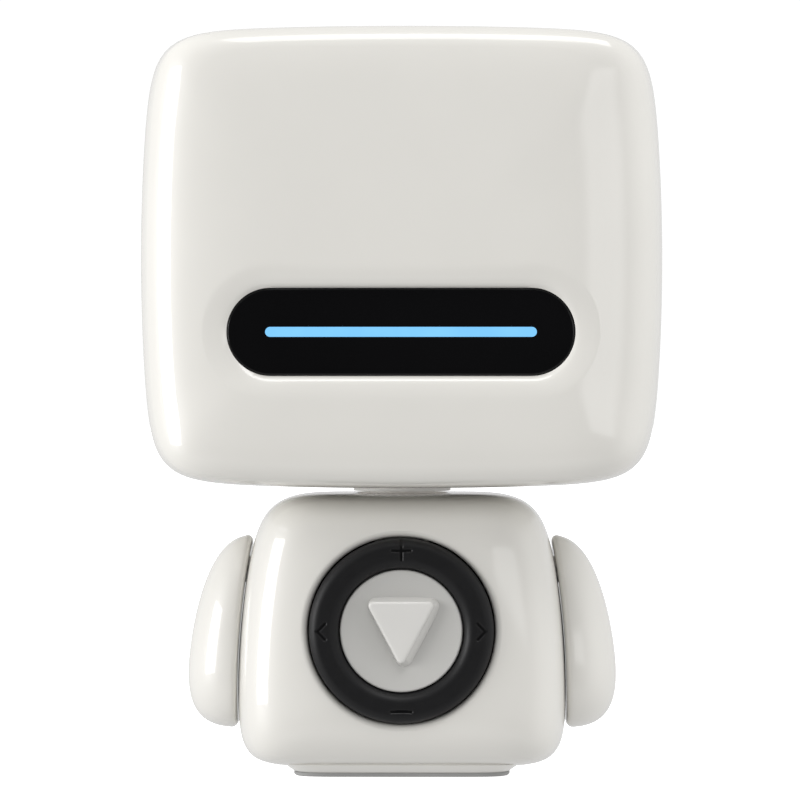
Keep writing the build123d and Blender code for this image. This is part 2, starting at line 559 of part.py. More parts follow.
with BuildPart() as play_button:
    with BuildSketch(DIAL_SECTION):
        with BuildLine():
            Polyline(
                (0, BUTTON_RIM - BUTTON_DISH), (0, 12.4), (2.0, 12.4), (2.0, 14.0),
                (BUTTON_FLANGE_R, 14.0), (BUTTON_FLANGE_R, 14.5), (BUTTON_R, 14.5),
                (BUTTON_R, BUTTON_RIM),
            )
            ThreePointArc(
                (BUTTON_R, BUTTON_RIM), (BUTTON_R / 2, BUTTON_RIM - 0.75 * BUTTON_DISH),
                (0, BUTTON_RIM - BUTTON_DISH),
            )
        make_face()
    revolve(axis=DIAL_AXIS)
    with BuildSketch(DIAL_FACE.offset(16.0)):
        with BuildLine():
            Polyline((-4.6, 3.9), (4.6, 3.9), (0, -4.7), close=True)
        triangle = make_face()
        fillet(triangle.vertices(), 0.4)
    extrude(amount=1.6)
finish(play_button.part, "play_button")

with BuildPart() as main_board:
    with BuildSketch(DIAL_FACE.offset(BOARD_FRONT)):
        Circle(BOARD_R)
        Rectangle(2 * BOARD_POST_X + 4, 5)
        with Locations((-BOARD_POST_X, 0), (BOARD_POST_X, 0)):
            Circle(SMALL_SCREW_R, mode=Mode.SUBTRACT)
    extrude(amount=-BOARD_THICK)
finish(main_board.part, "main_board")

with BuildPart() as tact_switches:
    for spots in (PolarLocations(SWITCH_RING_R, 4), Locations((0, 0))):
        with BuildSketch(DIAL_FACE.offset(BOARD_FRONT)):
            with spots:
                Rectangle(3.4, 3.4)
        extrude(amount=SWITCH_CASE)
        with BuildSketch(DIAL_FACE.offset(BOARD_FRONT + SWITCH_CASE)):
            with spots:
                Circle(0.9)
        extrude(amount=SWITCH_TOP - BOARD_FRONT - SWITCH_CASE)
finish(tact_switches.part, "tact_switches")

board_screws = screw_set(flipped(DIAL_FACE),
                         [(-BOARD_POST_X, 0), (BOARD_POST_X, 0)],
                         -BOARD_FRONT - 2.8, -BOARD_FRONT + BOARD_THICK,
                         SMALL_SCREW_R, SMALL_HEAD_R, SMALL_HEAD_THICK)
finish(board_screws, "board_screws")

# ---------------------------------------------------------------- power and base
with BuildPart() as battery:
    with Locations((0, -2.0, 19.0)):
        Box(23.6, 7.0, 20.0)
    fillet(battery.edges().filter_by(Axis.Z), 1.5)
finish(battery.part, "battery")

with BuildPart() as battery_tray:
    with Locations((0, 2.3, 19.0)):
        Box(24.0, 1.4, 19.0)
        Box(16.0, 1.4, 21.3)
    with Locations((0, -0.9, 8.65), (0, -0.9, 29.35)):
        Box(16.0, 5.0, 0.6)
finish(battery_tray.part, "battery_tray")

with BuildPart() as charge_board:
    with BuildSketch(Plane.XY.offset(6.4)):
        with Locations((0, 9.0)):
            RectangleRounded(16, 10, 1)
    extrude(amount=0.9)
finish(charge_board.part, "charge_board")

with BuildPart() as usb_socket:
    with BuildSketch(TORSO_FACE.offset(-9.2)):
        with Locations((0, USB_Z)):
            SlotOverall(USB_WIDTH, USB_HEIGHT)
    extrude(amount=-7.3)
    with BuildSketch(TORSO_FACE.offset(-10.6)):
        with Locations((0, USB_Z)):
            SlotOverall(USB_WIDTH - 0.6, USB_HEIGHT - 0.6)
            Rectangle(6.6, 0.7, mode=Mode.SUBTRACT)
    extrude(amount=-6, mode=Mode.SUBTRACT)
    with BuildSketch(Plane.XY.offset(7.3)):
        with Locations((0, 11.0)):
            Rectangle(6.0, 3.0)
    extrude(amount=0.3)
finish(usb_socket.part, "usb_socket")

with BuildPart() as ballast_plate:
    with BuildSketch(Plane.XY.offset(3.8)):
        RectangleRounded(23, 20, 3)
    extrude(amount=2.0)
finish(ballast_plate.part, "ballast_plate")

with BuildPart() as foot:
    with BuildSketch(Plane.XY.offset(PAD_THICK)):
        RectangleRounded(FOOT_WIDTH, FOOT_DEPTH, 9)
    with BuildSketch(Plane.XY.offset(2.1)):
        RectangleRounded(FOOT_WIDTH + 3, FOOT_DEPTH + 3, 10)
    loft()
    add(torso_outer, mode=Mode.SUBTRACT)
finish(foot.part, "foot")

with BuildPart() as foot_pad:
    with BuildSketch(Plane.XY):
        RectangleRounded(FOOT_WIDTH - 0.8, FOOT_DEPTH - 0.8, 8.6)
    extrude(amount=PAD_THICK)
finish(foot_pad.part, "foot_pad")

# ---------------------------------------------------------------- arms
ARM_INNER_R = TORSO_SIDE_R + SWING_GAP


def arm_axis_x(z):
    """How far out the egg's long axis is at an end: a little inside the arm's inner face."""
    return BALL_X + (ARM_INNER_R**2 - (z - TORSO_WIDEST_Z) ** 2) ** 0.5 - ARM_SINK


for side, name in ((-1, "left"), (1, "right")):
    low = Vector(side * arm_axis_x(ARM_BOTTOM_Z), 0, ARM_BOTTOM_Z)
    high = Vector(side * arm_axis_x(ARM_BOTTOM_Z + ARM_LENGTH), 0, ARM_BOTTOM_Z + ARM_LENGTH)
    along = (high - low).normalized()
    arm_section = Plane(origin=low, x_dir=along.cross(Vector(0, -1, 0)), z_dir=Vector(0, -1, 0))
    with BuildPart() as arm:
        with BuildSketch(arm_section):
            with BuildLine():
                Bezier(
                    (0, 0), (ARM_SWELL * ARM_BOTTOM_BLUNTNESS, 0),
                    (ARM_SWELL, ARM_WIDEST * (1 - ARM_LOWER_FULLNESS)), (ARM_SWELL, ARM_WIDEST),
                )
                Bezier(
                    (ARM_SWELL, ARM_WIDEST),
                    (ARM_SWELL, ARM_WIDEST + (ARM_LENGTH - ARM_WIDEST) * ARM_UPPER_FULLNESS),
                    (ARM_SWELL * ARM_TOP_BLUNTNESS, ARM_LENGTH), (0, ARM_LENGTH),
                )
                Line((0, ARM_LENGTH), (0, 0))
            make_face()
        revolve(axis=Axis(low, along))
        with Locations((side * BALL_X, 0, TORSO_WIDEST_Z)):
            Sphere(ARM_INNER_R, mode=Mode.SUBTRACT)
        with BuildSketch(shoulder_plane(side, TORSO_SIDE_R)):
            Circle(PIN_R)
        extrude(amount=PIN_REACH, mode=Mode.SUBTRACT)
    finish(arm.part, f"arm_{name}")

    with BuildPart() as shoulder_pin:
        with BuildSketch(shoulder_plane(side, TORSO_SIDE_R - CLIP_DEPTH)):
            Circle(PIN_NECK_R)
        extrude(amount=PIN_CLIP_THICK + RUNNING_GAP)
        with BuildSketch(shoulder_plane(side, TORSO_SIDE_R - PIN_SHANK_DEPTH)):
            Circle(PIN_R)
        extrude(amount=PIN_SHANK_DEPTH + PIN_REACH)
        with BuildSketch(shoulder_plane(side, TORSO_SIDE_R - CLIP_DEPTH)):
            Circle(PIN_NECK_R + 0.3)
        extrude(amount=-PIN_HEAD_THICK)
    finish(shoulder_pin.part, f"shoulder_pin_{name}")

    with BuildPart() as shoulder_clip:
        with BuildSketch(shoulder_plane(side, TORSO_SIDE_R - CLIP_DEPTH)):
            Circle(PIN_CLIP_R)
            Circle(PIN_NECK_R, mode=Mode.SUBTRACT)
            with Locations((0, 2.2)):
                Rectangle(2.0, 3.0, mode=Mode.SUBTRACT)
        extrude(amount=PIN_CLIP_THICK)
    finish(shoulder_clip.part, f"shoulder_clip_{name}")

# ---------------------------------------------------------------- inner leads
def lead(points, radii, label):
    """A bundle of thin leads, swept along straight runs joined by tangent arcs."""
    with BuildPart() as bundle:
        with BuildLine() as route:
            FilletPolyline(*points, radius=radii)
        start = route.line
        with BuildSketch(Plane(origin=start @ 0, z_dir=start % 0)):
            Circle(LEAD_R)
        sweep()
    finish(bundle.part, label)
    print(label, "radii", radii, "length", round(route.wires()[0].length, 1))


lead([(0, 0, 36.8), (0, 0, 55.5), (0, -18.4, 55.5)], [8.0], "light_leads")
lead([(15, -18.2, 66), (16, -8, 60), (16, 3, 58), (15, 12, 62)], [6.0, 6.0], "speaker_leads")
lead([(0, 0, 36.4), (0, 0, 30.4), (0, -8.9, 30.4)], [2.7], "torso_leads")
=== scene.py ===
"""Looks of the robot-shaped desk speaker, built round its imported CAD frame.

The casings, arms, dial and foot are rebuilt as smooth meshes that replace their CAD nodes; every
other node keeps its CAD shape and takes a procedural material. Shapes are worked out in
millimetres, +Z up with the front towards -Y, and turned into metres as each mesh is made.
"""

import math

import bpy
import numpy as np
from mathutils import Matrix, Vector


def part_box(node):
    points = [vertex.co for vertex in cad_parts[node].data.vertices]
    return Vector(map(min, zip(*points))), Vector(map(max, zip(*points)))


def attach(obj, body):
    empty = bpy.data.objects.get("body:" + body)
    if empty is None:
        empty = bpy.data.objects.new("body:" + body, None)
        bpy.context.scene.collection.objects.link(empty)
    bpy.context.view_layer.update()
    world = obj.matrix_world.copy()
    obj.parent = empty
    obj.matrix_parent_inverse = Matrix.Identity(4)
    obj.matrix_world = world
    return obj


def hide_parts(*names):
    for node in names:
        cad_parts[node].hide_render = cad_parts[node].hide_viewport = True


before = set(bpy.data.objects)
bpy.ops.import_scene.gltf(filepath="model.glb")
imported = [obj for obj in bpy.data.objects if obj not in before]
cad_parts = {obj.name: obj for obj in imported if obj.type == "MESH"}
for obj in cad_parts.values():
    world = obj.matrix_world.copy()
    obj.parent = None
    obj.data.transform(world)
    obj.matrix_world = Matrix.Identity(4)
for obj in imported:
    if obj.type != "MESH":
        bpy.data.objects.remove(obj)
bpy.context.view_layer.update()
MM = 0.001


# ---------------------------------------------------------------- sizes read from the frame
def node_box(name):
    """Lowest and highest corner of a CAD node, in millimetres."""
    low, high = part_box(name)
    return np.array(low) / MM, np.array(high) / MM


head_low = np.minimum(node_box("head_front_shell")[0], node_box("head_rear_shell")[0])
head_high = np.maximum(node_box("head_front_shell")[1], node_box("head_rear_shell")[1])
torso_low = np.minimum(node_box("torso_front_shell")[0], node_box("torso_rear_shell")[0])
torso_high = np.maximum(node_box("torso_front_shell")[1], node_box("torso_rear_shell")[1])
HEAD_SPLIT = node_box("head_rear_shell")[0][1]
TORSO_SPLIT = node_box("torso_rear_shell")[0][1]

HEAD_MID = (head_high[2] + head_low[2]) / 2
TORSO_MID = (torso_high[2] + torso_low[2]) / 2

WALL = 2.0
SEAM = 0.12
light_low, light_high = node_box("light_bar")
VISOR_Z = (light_low[2] + light_high[2]) / 2
VISOR_FRONT = node_box("visor_lens")[0][1]
VISOR_HALF_WIDTH, VISOR_R, VISOR_GAP = 22.75, 5.7, 0.06

RING_LOW, RING_HIGH = node_box("control_ring")
DIAL_Z = (RING_LOW[2] + RING_HIGH[2]) / 2
RING_CREST = -RING_LOW[1]
RING_INNER_R, RING_OUTER_R = 8.25, 12.28
DIAL_OPENING_R = RING_OUTER_R + 0.15
BUTTON_R, BUTTON_RIM, BUTTON_DISH = 8.12, 16.9, 0.8

SPEAKER_R = 18.5
HEAD_SIDE_R, HEAD_TOP_R = 251.0, 617.0
# Each side of the torso is part of a ball, so that the arms can swing over it.
TORSO_HALF_WIDTH = 22.4
BALL_R, BALL_Z = 100.0, 11.0
BALL_X = TORSO_HALF_WIDTH - BALL_R

NECK_HOLE_HEAD_R, NECK_HOLE_TORSO_R = 4.6, 6.25
HEAD_FLOOR_HOLE_Z, TORSO_TOP_HOLE_Z = (36.0, 43.0), (34.0, 40.0)
PIN_HOLE_TORSO_R, PIN_HOLE_ARM_R = 1.9, 1.88
# Where the shoulder pins' holes start and end, from the centre of the side's ball.
PIN_HOLE_TORSO, PIN_HOLE_ARM = (BALL_R - 11, BALL_R + 4), (BALL_R - 1.5, BALL_R + 2.8)
SCREW_R, SCREW_RECESS_R = 1.7, 1.9
HEAD_RECESS_Y, TORSO_RECESS_Y = (20, 26), (14, 20)
TORSO_SCREWS = [(-14.5, 8.0), (14.5, 8.0), (-12.5, 31.5), (12.5, 31.5)]
SOCKET_HALF_HEIGHT = 1.6
SOCKET_SLOT_HALF_WIDTH, SOCKET_SLOT_R, SOCKET_SLOT_Y = 4.55, 1.7, (12, 20)


# ---------------------------------------------------------------- mesh building
SMOOTH_ANGLE = math.radians(40)


def loft(name, rings, closed=False):
    """A mesh through rings of points in millimetres. A ring of one point is a pole."""
    starts = np.concatenate([[0], np.cumsum([len(ring) for ring in rings])])
    vertices = np.concatenate(rings) * MM
    faces = []
    pairs = list(zip(range(len(rings) - 1), range(1, len(rings))))
    if closed:
        pairs.append((len(rings) - 1, 0))
    for first, second in pairs:
        count_a, count_b = len(rings[first]), len(rings[second])
        a, b = starts[first], starts[second]
        count = max(count_a, count_b)
        for i in range(count):
            j = (i + 1) % count
            if count_a == 1:
                faces.append((a, b + j, b + i))
            elif count_b == 1:
                faces.append((a + i, a + j, b))
            else:
                faces.append((a + i, a + j, b + j, b + i))
    mesh = bpy.data.meshes.new(name)
    mesh.from_pydata(vertices.tolist(), [], [tuple(int(v) for v in f) for f in faces])
    piece = bpy.data.objects.new(name, mesh)
    bpy.context.scene.collection.objects.link(piece)
    face_outwards(piece)
    soften(piece)
    return piece


def face_outwards(piece):
    """Turn the faces of a closed mesh outwards, judged by its signed volume."""
    mesh = piece.data
    mesh.calc_loop_triangles()
    points = np.array([v.co for v in mesh.vertices])
    corners = np.array([t.vertices for t in mesh.loop_triangles])
    a, b, c = (points[corners[:, k]] for k in range(3))
    if np.einsum("ij,ij->i", a, np.cross(b, c)).sum() < 0:
        mesh.flip_normals()


def soften(piece):
    """Smooth shading, with sharp edges left hard."""
    piece.data.shade_smooth()
    piece.data.set_sharp_from_angle(angle=SMOOTH_ANGLE)


def circle(centre, across, up, radius, count):
    """Points of a circle spanned by two directions."""
    turn = np.arange(count)[:, None] * 2 * np.pi / count
    return centre + radius * (np.cos(turn) * across + np.sin(turn) * up)


def rod(centre, axis, radius, start, end):
    """A closed cylinder along an axis, used to cut holes."""
    count = 48
    centre = np.array(centre, float)
    axis = np.array(axis, float) / np.linalg.norm(axis)
    across = np.cross(axis, [0, 0, 1] if abs(axis[2]) < 0.9 else [0, 1, 0])
    across /= np.linalg.norm(across)
    up = np.cross(axis, across)
    low, high = centre + axis * start, centre + axis * end
    rims = [circle(end_point, across, up, radius, count) for end_point in (low, high)]
    return loft("cutter", [low[None, :], *rims, high[None, :]])


def upright_rod(radius, heights):
    """A cylinder round the Z axis between two heights."""
    return rod((0, 0, heights[0]), (0, 0, 1), radius, 0, heights[1] - heights[0])


def recesses(spots, depths):
    """Cylinders along Y for screw recesses at x, z spots."""
    return [rod((x, 0, z), (0, 1, 0), SCREW_RECESS_R, *depths) for x, z in spots]


def cut(piece, cutters):
    """Cut closed shapes out of a piece for good, then delete them."""
    for cutter in cutters:
        modifier = piece.modifiers.new("cut", "BOOLEAN")
        modifier.object = cutter
        modifier.solver = "EXACT"
    graph = bpy.context.evaluated_depsgraph_get()
    mesh = bpy.data.meshes.new_from_object(piece.evaluated_get(graph))
    piece.modifiers.clear()
    old, piece.data = piece.data, mesh
    mesh.name = piece.name
    bpy.data.meshes.remove(old)
    for cutter in cutters:
        bpy.data.objects.remove(cutter)
    soften(piece)


HALVINGS = 45


def reach(measure, centre, angles, far=80.0):
    """How far a ray from centre runs, at each angle, before measure(x, z) passes 1."""
    low, high = np.zeros(len(angles)), np.full(len(angles), far)
    for _ in range(HALVINGS):
        mid = (low + high) / 2
        inside = measure(centre[0] + mid * np.cos(angles), centre[1] + mid * np.sin(angles)) < 1
        low, high = np.where(inside, mid, low), np.where(inside, high, mid)
    return (low + high) / 2


def even_angles(measures, centre, count):
    """Ray angles that divide the given outlines evenly, on average."""
    dense = np.linspace(0, 2 * np.pi, 4097)
    share = np.zeros(len(dense))
    for measure in measures:
        run = reach(measure, centre, dense)
        steps = np.hypot(np.diff(run * np.cos(dense)), np.diff(run * np.sin(dense)))
        total = np.concatenate([[0], np.cumsum(steps)])
        share += total / total[-1] / len(measures)
    return np.interp(np.arange(count) / count, share, dense)


# ---------------------------------------------------------------- casings
OUTLINE_DEPTH = 0.8
SETTLING_ROUNDS = 5
EDGE_TURN = math.acos(0.2**0.5)


class Casing:
    """A soft box whose outline from the front and profile from face to side are superellipses.

    The half width is a function of y and z and the half height one of x, so that the sides can
    be domed. The outline has one power below and one above the middle, and the profile one at
    the sides, one at the top and one at the bottom.
    """

    def __init__(self, mid_z, half_depth, half_width, half_height, powers, profile):
        self.mid_z, self.half_depth = mid_z, half_depth
        self.half_width, self.half_height = half_width, half_height
        self.low_power, self.high_power = powers
        self.side_profile, self.top_profile, self.low_profile = profile

    def size(self, unit_x, unit_z):
        """How far out a point is, 1 on the outline, and the profile's power in its direction."""
        power = np.where(unit_z > 0, self.high_power, self.low_power)
        part_x, part_z = np.abs(unit_x) ** power, np.abs(unit_z) ** power
        out = (part_x + part_z) ** (1 / power)
        sideways = part_x / np.maximum(part_x + part_z, 1e-12)
        end_profile = np.where(unit_z > 0, self.top_profile, self.low_profile)
        profile = np.exp(sideways * np.log(self.side_profile) + (1 - sideways) * np.log(end_profile))
        return out, profile

    def outline(self, x, z):
        """How far out a point is, 1 where the face turns into the sides."""
        width = self.half_width(-OUTLINE_DEPTH * self.half_depth, z)
        return self.size(x / width, (z - self.mid_z) / self.half_height(x))[0]

    def face(self, x, z, side):
        """Points of the front (side -1) or rear (side 1) face at x, z."""
        y = np.full(x.shape, side * self.half_depth)
        for _ in range(SETTLING_ROUNDS):
            unit_x = x / self.half_width(y, z)
            out, profile = self.size(unit_x, (z - self.mid_z) / self.half_height(x))
            y = side * self.half_depth * (1 - np.minimum(out, 0.999) ** profile) ** (1 / profile)
        return np.stack([x, y, z], axis=-1)

    def edge(self, unit_x, unit_z, profile, turn, side):
        """Points round the edge: turn runs from 90 degrees mid-face to 0 at mid-side."""
        out = np.cos(turn) ** (2 / profile)
        return self.place(unit_x * out, unit_z * out, side * self.half_depth * np.sin(turn) ** (2 / profile))

    def place(self, part_x, part_z, y):
        """Points at shares of the half width and half height, at depth y."""
        x = part_x * self.half_width(y, self.mid_z)
        for _ in range(SETTLING_ROUNDS):
            z = self.mid_z + part_z * self.half_height(x)
            x = part_x * self.half_width(y, z)
        return np.stack([x, y, z], axis=-1)

    def skin(self, start, centre, angles, side, split, counts):
        """Rings from the start ring on a face, round the edge, to the parting plane y = split."""
        run = reach(self.outline, centre, angles)
        x, z = centre[0] + run * np.cos(angles), centre[1] + run * np.sin(angles)
        unit_x = x / self.half_width(-OUTLINE_DEPTH * self.half_depth, z)
        unit_z = (z - self.mid_z) / self.half_height(x)
        profile = self.size(unit_x, unit_z)[1]
        face_count, edge_count, wall_count = counts
        first = self.edge(unit_x, unit_z, profile, EDGE_TURN, side)
        rings = []
        for part in np.arange(1, face_count) / face_count:
            x = start[:, 0] * (1 - part) + first[:, 0] * part
            z = start[:, 2] * (1 - part) + first[:, 2] * part
            rings.append(self.face(x, z, side))
        for turn in np.linspace(EDGE_TURN, math.pi / 2 - EDGE_TURN, edge_count):
            rings.append(self.edge(unit_x, unit_z, profile, turn, side))
        last_y = rings[-1][:, 1]
        for part in np.arange(1, wall_count + 1) / wall_count:
            y = last_y * (1 - part) + split * part
            rings.append(self.wall_at(unit_x, unit_z, profile, y))
        return rings

    def wall_at(self, unit_x, unit_z, profile, y):
        """Points of the side walls at depth y."""
        out = (1 - (np.abs(y) / self.half_depth) ** profile) ** (1 / profile)
        return self.place(unit_x * out, unit_z * out, y)


# Powers below and above the middle, then profiles at the sides, the top and the bottom.
HEAD_POWERS, HEAD_PROFILE = (9.5, 9.5), (6.0, 14.0, 14.0)
TORSO_POWERS, TORSO_PROFILE = (9.5, 7.3), (5.1, 5.5, 5.5)


def dome(offset, radius):
    """How far a domed face has fallen away at an offset from its middle."""
    return radius - np.sqrt(radius**2 - offset**2)


def head_casing(side):
    """The head's casing for an inset, as deep as the CAD head is on one side of the origin."""
    half_width, _, half_height = (head_high - head_low) / 2
    half_depth = -head_low[1] if side < 0 else head_high[1]

    def casing(inset):
        return Casing(
            HEAD_MID, half_depth - inset,
            lambda y, z: half_width - inset - dome(z - HEAD_MID, HEAD_SIDE_R),
            lambda x: half_height - inset - dome(x, HEAD_TOP_R),
            HEAD_POWERS, HEAD_PROFILE,
        )

    return casing


def torso_casing(inset):
    """The torso's casing for an inset. Its sides are parts of balls."""
    _, half_depth, half_height = (torso_high - torso_low) / 2 - inset
    ball = BALL_R - inset

    def half_width(y, z):
        return BALL_X + np.sqrt(ball**2 - y**2 - (z - BALL_Z) ** 2)

    return Casing(
        TORSO_MID, half_depth, half_width, lambda x: half_height + 0 * x, TORSO_POWERS, TORSO_PROFILE
    )


# Rings over the face, round the edge and along the wall.
OUTER_RINGS, SEAM_RINGS, INNER_RINGS = (14, 18, 8), (2, 2, 1), (5, 8, 2)
LIP_ROUNDNESS = 2.1


def casing_half(name, casing_of, opening, centre, lip, side, split, count):
    """One half of a casing: opening lip, face, edge and wall outside, and the same inside.

    The lip gives its width, the y at which it starts and how quickly it rises to the face.
    """
    outer, inner = casing_of(0), casing_of(WALL)
    angles = even_angles([lambda x, z: opening(x, z, 0), outer.outline], centre, count)

    def ring_at(distance):
        run = reach(lambda x, z: opening(x, z, distance), centre, angles)
        return centre[0] + run * np.cos(angles), centre[1] + run * np.sin(angles)

    lip_width, lip_y, lip_shape = lip
    face_ring = outer.face(*ring_at(lip_width), side)
    rings = [inner.face(*ring_at(0), side)]
    for part in np.linspace(0, 1, 10):
        x, z = ring_at(lip_width * part)
        rise = (1 - (1 - part) ** lip_shape) ** (1 / LIP_ROUNDNESS)
        y = lip_y + (face_ring[:, 1] - lip_y) * rise
        rings.append(np.stack([x, y, z], axis=-1))
    rings += outer.skin(face_ring, centre, angles, side, split + side * SEAM, OUTER_RINGS)
    rings.append(casing_of(SEAM).skin(face_ring, centre, angles, side, split, SEAM_RINGS)[-1])
    rings += inner.skin(rings[0], centre, angles, side, split, INNER_RINGS)[::-1]
    return loft(name, rings, closed=True)


def visor_opening(x, z, distance):
    """How far out a point is, 1 on the visor's opening grown by a distance."""
    beyond = np.maximum(np.abs(x) - (VISOR_HALF_WIDTH - VISOR_R), 0)
    return np.hypot(beyond, z - VISOR_Z) / (VISOR_R + VISOR_GAP + distance)


def round_opening(mid_z, radius):
    """The same measure for a round opening."""
    return lambda x, z, distance: np.hypot(x, z - mid_z) / (radius + distance)


# Each opening's lip, as casing_half takes it.
VISOR_LIP = (3.2, VISOR_FRONT + 0.05, 1.9)
SPEAKER_LIP = (0.5, head_high[1] - 0.45, 2.0)
DIAL_LIP = (0.9, torso_low[1] + 1.3, 2.0)
# The torso's rear face is closed but for a pinhole, which is where its rings meet.
PINHOLE_R, PINHOLE_LIP = 0.05, (0.02, torso_high[1], 2.0)

head_front = casing_half(
    "head_casing_front", head_casing(-1), visor_opening, (0, VISOR_Z),
    VISOR_LIP, -1, HEAD_SPLIT, 288,
)
cut(head_front, [upright_rod(NECK_HOLE_HEAD_R, HEAD_FLOOR_HOLE_Z)])

head_rear = casing_half(
    "head_casing_rear", head_casing(1), round_opening(HEAD_MID, SPEAKER_R), (0, HEAD_MID),
    SPEAKER_LIP, 1, HEAD_SPLIT, 224,
)
screws_low, screws_high = node_box("head_screws")
head_screws = [
    (x, z)
    for x in (screws_low[0] + SCREW_R, screws_high[0] - SCREW_R)
    for z in (screws_low[2] + SCREW_R, screws_high[2] - SCREW_R)
]
cut(head_rear, recesses(head_screws, HEAD_RECESS_Y))

torso_front = casing_half(
    "torso_casing_front", torso_casing, round_opening(DIAL_Z, DIAL_OPENING_R), (0, DIAL_Z),
    DIAL_LIP, -1, TORSO_SPLIT, 224,
)
torso_rear = casing_half(
    "torso_casing_rear", torso_casing, round_opening(DIAL_Z, PINHOLE_R), (0, DIAL_Z),
    PINHOLE_LIP, 1, TORSO_SPLIT, 192,
)


def shoulder(side):
    """Ball centre and outward direction of a shoulder's axis."""
    low, high = node_box("shoulder_pin_left" if side < 0 else "shoulder_pin_right")
    middle = (low + high) / 2
    centre = np.array([side * BALL_X, 0, BALL_Z])
    outward = middle - centre
    return centre, outward / np.linalg.norm(outward)


def slot_cutter(mid_z):
    """A slot along Y, with round ends, for the charging socket."""
    turns = np.arange(64) * 2 * np.pi / 64
    flat = SOCKET_SLOT_HALF_WIDTH - SOCKET_SLOT_R
    x = np.cos(turns) * SOCKET_SLOT_R + np.sign(np.cos(turns)) * flat
    z = mid_z + np.sin(turns) * SOCKET_SLOT_R
    rings = [np.stack([x, np.full(len(x), y), z], axis=-1) for y in SOCKET_SLOT_Y]
    ends = [np.array([[0, y, mid_z]]) for y in SOCKET_SLOT_Y]
    return loft("cutter", [ends[0], *rings, ends[1]])


pin_holes = [rod(*shoulder(side), PIN_HOLE_TORSO_R, *PIN_HOLE_TORSO) for side in (-1, 1)]
cut(torso_front, [upright_rod(NECK_HOLE_TORSO_R, TORSO_TOP_HOLE_Z), *pin_holes])
socket_z = node_box("usb_socket")[1][2] - SOCKET_HALF_HEIGHT
cut(
    torso_rear,
    recesses(TORSO_SCREWS, TORSO_RECESS_Y)
    + [upright_rod(NECK_HOLE_TORSO_R, TORSO_TOP_HOLE_Z), slot_cutter(socket_z)],
)


# ---------------------------------------------------------------- arms
def bezier(points, count):
    """Points of a cubic Bezier curve."""
    t = np.linspace(0, 1, count)[:, None]
    p = [np.array(point, float) for point in points]
    return (1 - t) ** 3 * p[0] + 3 * t * (1 - t) ** 2 * p[1] + 3 * t**2 * (1 - t) * p[2] + t**3 * p[3]


ARM_LENGTH, ARM_SWELL, ARM_WIDEST = 26.2, 8.2, 8.7
ARM_SINK, ARM_BOTTOM_Z = 0.6, 5.7
UPPER_FULLNESS, TOP_BLUNTNESS = 0.22, 0.89
LOWER_FULLNESS, BOTTOM_BLUNTNESS = 0.8, 0.6
ARM_INNER_R = BALL_R + 0.12
ARM_RIM_R = 1.0
# Near the tips the section keeps at least this share of its radius as height.
TIP_FADE_R, TIP_LEAST_HEIGHT = 2.0, 0.5


def arm(side, name):
    """Half an egg whose hollow inner face follows the torso's side."""
    centre = np.array([side * BALL_X, 0, BALL_Z])

    def axis_point(z):
        x = BALL_X + math.sqrt(ARM_INNER_R**2 - (z - BALL_Z) ** 2) - ARM_SINK
        return np.array([side * x, 0, z])

    low, high = axis_point(ARM_BOTTOM_Z), axis_point(ARM_BOTTOM_Z + ARM_LENGTH)
    along = (high - low) / np.linalg.norm(high - low)
    lower = bezier(
        [(0, 0), (ARM_SWELL * BOTTOM_BLUNTNESS, 0), (ARM_SWELL, ARM_WIDEST * (1 - LOWER_FULLNESS)),
         (ARM_SWELL, ARM_WIDEST)], 40,
    )
    upper = bezier(
        [(ARM_SWELL, ARM_WIDEST), (ARM_SWELL, ARM_WIDEST + (ARM_LENGTH - ARM_WIDEST) * UPPER_FULLNESS),
         (ARM_SWELL * TOP_BLUNTNESS, ARM_LENGTH), (0, ARM_LENGTH)], 60,
    )
    outline = np.concatenate([lower, upper[1:]])
    slope = np.gradient(outline, axis=0)
    slope /= np.linalg.norm(slope, axis=1)[:, None]

    def ring(number):
        """One cross-section: over the outside, round both rims and back along the inner face.

        It is drawn flat, as distances across and out, and then wrapped round the ball.
        """
        radius, reached = outline[number]
        normal_across, normal_along = slope[number][1], -slope[number][0]
        bow = reached * (ARM_LENGTH - reached) / (2 * ARM_INNER_R)
        height = radius - (ARM_SINK + bow) * min(1, radius / TIP_FADE_R)
        height = max(height, TIP_LEAST_HEIGHT * radius)
        rim = min(ARM_RIM_R, 0.98 * height)
        widest_turn = math.acos(rim / height)
        turns = np.linspace(-widest_turn, widest_turn, 41)
        corner_out = rim * (1 - np.sin(np.linspace(0, np.pi / 2, 9)[1:]))
        corner_part = np.sqrt(1 - (corner_out / height) ** 2)
        inner_part = np.linspace(1, -1, 14)[1:-1]
        part = np.concatenate([np.sin(turns), corner_part, inner_part, -corner_part[::-1]])
        out = np.concatenate([height * np.cos(turns), corner_out, 0 * inner_part, corner_out[::-1]])
        lack = np.clip(1 - out / ARM_RIM_R, 0, 1)
        inward = ARM_RIM_R * (1 - np.sqrt(1 - lack**2))
        across = radius * part - inward * normal_across * part * min(1, radius / ARM_RIM_R)
        base = low + np.outer(reached - inward * normal_along, along) + np.outer(across, [0, 1, 0])
        ray = base - centre
        ray /= np.linalg.norm(ray, axis=1)[:, None]
        return centre + ray * (ARM_INNER_R + out)[:, None]

    rings = [ring(number) for number in range(1, len(outline) - 1)]
    ends = []
    for point in (low + along * ARM_RIM_R, high - along * ARM_RIM_R):
        ray = (point - centre) / np.linalg.norm(point - centre)
        ends.append(np.array([centre + ray * ARM_INNER_R]))
    return loft(name, [ends[0], *rings, ends[1]])


arms = {"left_arm": arm(-1, "arm_shell_left"), "right_arm": arm(1, "arm_shell_right")}
for side, body in ((-1, "left_arm"), (1, "right_arm")):
    cut(arms[body], [rod(*shoulder(side), PIN_HOLE_ARM_R, *PIN_HOLE_ARM)])


